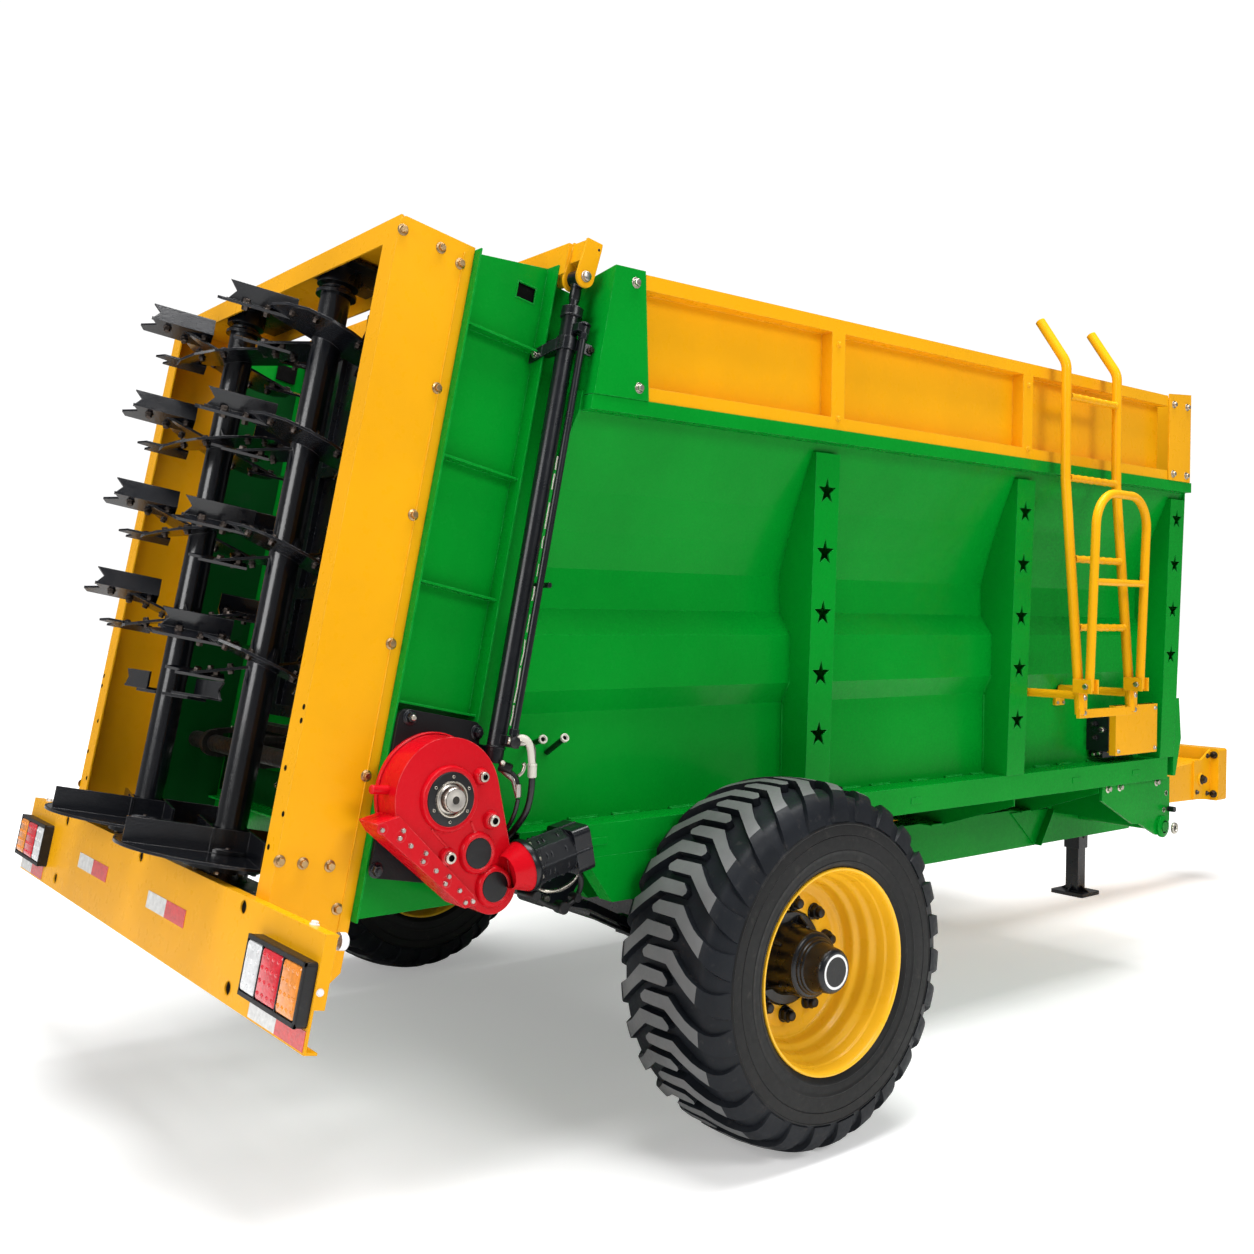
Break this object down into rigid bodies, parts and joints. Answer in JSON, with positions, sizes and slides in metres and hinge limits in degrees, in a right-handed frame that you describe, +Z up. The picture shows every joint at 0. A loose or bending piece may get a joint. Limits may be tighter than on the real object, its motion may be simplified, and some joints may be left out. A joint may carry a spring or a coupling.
{
  "type": "manure spreader",
  "caption": "Single-axle trailed manure spreader with a hopper, chain floor, tilted rear frame with upright beaters, lifting rear door, side ladder and parking jack.",
  "frame": {"origin": "ground level under the middle of the machine's length and width", "axes": "+X to the drawbar, +Y to the left, +Z up"},
  "size_m": [6.5961, 2.62, 2.7216],
  "materials": {
    "green_paint": "gloss",
    "yellow_paint": "gloss",
    "red_paint": "gloss",
    "black_paint": "satin",
    "bare_steel": "worn",
    "rod_chrome": "polished",
    "tyre_rubber": "matt",
    "hose_rubber": "matt",
    "lamp_lens": "clear lens"
  },
  "bodies": {
    "spreader": {"chassis_rails": "green_paint", "cross_members": "green_paint", "spring_carriers": "black_paint", "side_brackets": "green_paint", "leaf_springs": "black_paint", "axle_beam": "black_paint", "sills": "green_paint", "hopper_sides": "green_paint", "side_posts": "green_paint", "top_rails": "green_paint", "side_extensions": "yellow_paint", "corner_covers": "green_paint", "front_panel": "green_paint", "front_extension": "yellow_paint", "hopper_floor": "bare_steel", "floor_conveyor": "bare_steel", "rear_side_panels": "green_paint", "rear_frame": "yellow_paint", "bumper": "yellow_paint", "tail_lights": "lamp_lens", "beater_drive": "black_paint", "gearbox_plate": "black_paint", "floor_drive_gearbox": "red_paint", "floor_drive_motor": "black_paint", "lift_cylinders": "black_paint", "front_brackets": "green_paint", "drawbar": "yellow_paint", "hitch_head": "yellow_paint", "jack_tube": "black_paint", "pto_bearing": "black_paint", "ladder_upper": "yellow_paint", "valve_block": "black_paint", "control_box": "yellow_paint", "hose_fittings": "bare_steel", "hose_right_1": "hose_rubber", "hose_right_2": "hose_rubber", "hose_left_1": "hose_rubber", "hose_left_2": "hose_rubber"},
    "wheel_right": {"tyre_right": "tyre_rubber", "rim_right": "yellow_paint", "hub_right": "black_paint"},
    "wheel_left": {"tyre_left": "tyre_rubber", "rim_left": "yellow_paint", "hub_left": "black_paint"},
    "beater_rotor_right": {"beater_right": "black_paint"},
    "beater_rotor_left": {"beater_left": "black_paint"},
    "rear_door": {"slurry_door": "black_paint", "door_crossbeam": "yellow_paint", "cylinder_rods": "rod_chrome"},
    "ladder_section": {"ladder_lower": "yellow_paint"},
    "jack_foot": {"jack_leg": "black_paint"},
    "drive_shaft": {"pto_shaft": "bare_steel"}
  },
  "joints": [
    {"name": "wheel_right_spin", "type": "hinge", "parent": "spreader", "child": "wheel_right", "pos_m": [-1.554, -1.112, 0.535], "axis": [0, 1, 0], "continuous": true},
    {"name": "wheel_left_spin", "type": "hinge", "parent": "spreader", "child": "wheel_left", "pos_m": [-1.554, 1.112, 0.535], "axis": [0, 1, 0], "continuous": true},
    {"name": "beater_right_spin", "type": "hinge", "parent": "spreader", "child": "beater_rotor_right", "pos_m": [-2.84187, -0.335, 1.65206], "axis": [0.1959, 0, 0.9806], "continuous": true},
    {"name": "beater_left_spin", "type": "hinge", "parent": "spreader", "child": "beater_rotor_left", "pos_m": [-2.84187, 0.335, 1.65206], "axis": [0.1959, 0, 0.9806], "continuous": true},
    {"name": "drive_shaft_spin", "type": "hinge", "parent": "spreader", "child": "drive_shaft", "pos_m": [-0.554, 0, 0.786], "axis": [1, 0, 0], "continuous": true},
    {"name": "rear_door_lift", "type": "slide", "parent": "spreader", "child": "rear_door", "axis": [0.1959, 0, 0.9806], "range_m": [0, 0.95]},
    {"name": "ladder_fold", "type": "hinge", "parent": "spreader", "child": "ladder_section", "pos_m": [0.236, -1.146, 1.307], "axis": [1, 0, 0], "range_deg": [0, 175]},
    {"name": "jack_slide", "type": "slide", "parent": "spreader", "child": "jack_foot", "axis": [0, 0, 1], "range_m": [0, 0.2]}
  ],
  "couplings": [
    {"joint": "beater_left_spin", "follows": "beater_right_spin", "ratio": -1},
    {"joint": "drive_shaft_spin", "follows": "beater_right_spin", "ratio": 2.5}
  ]
}
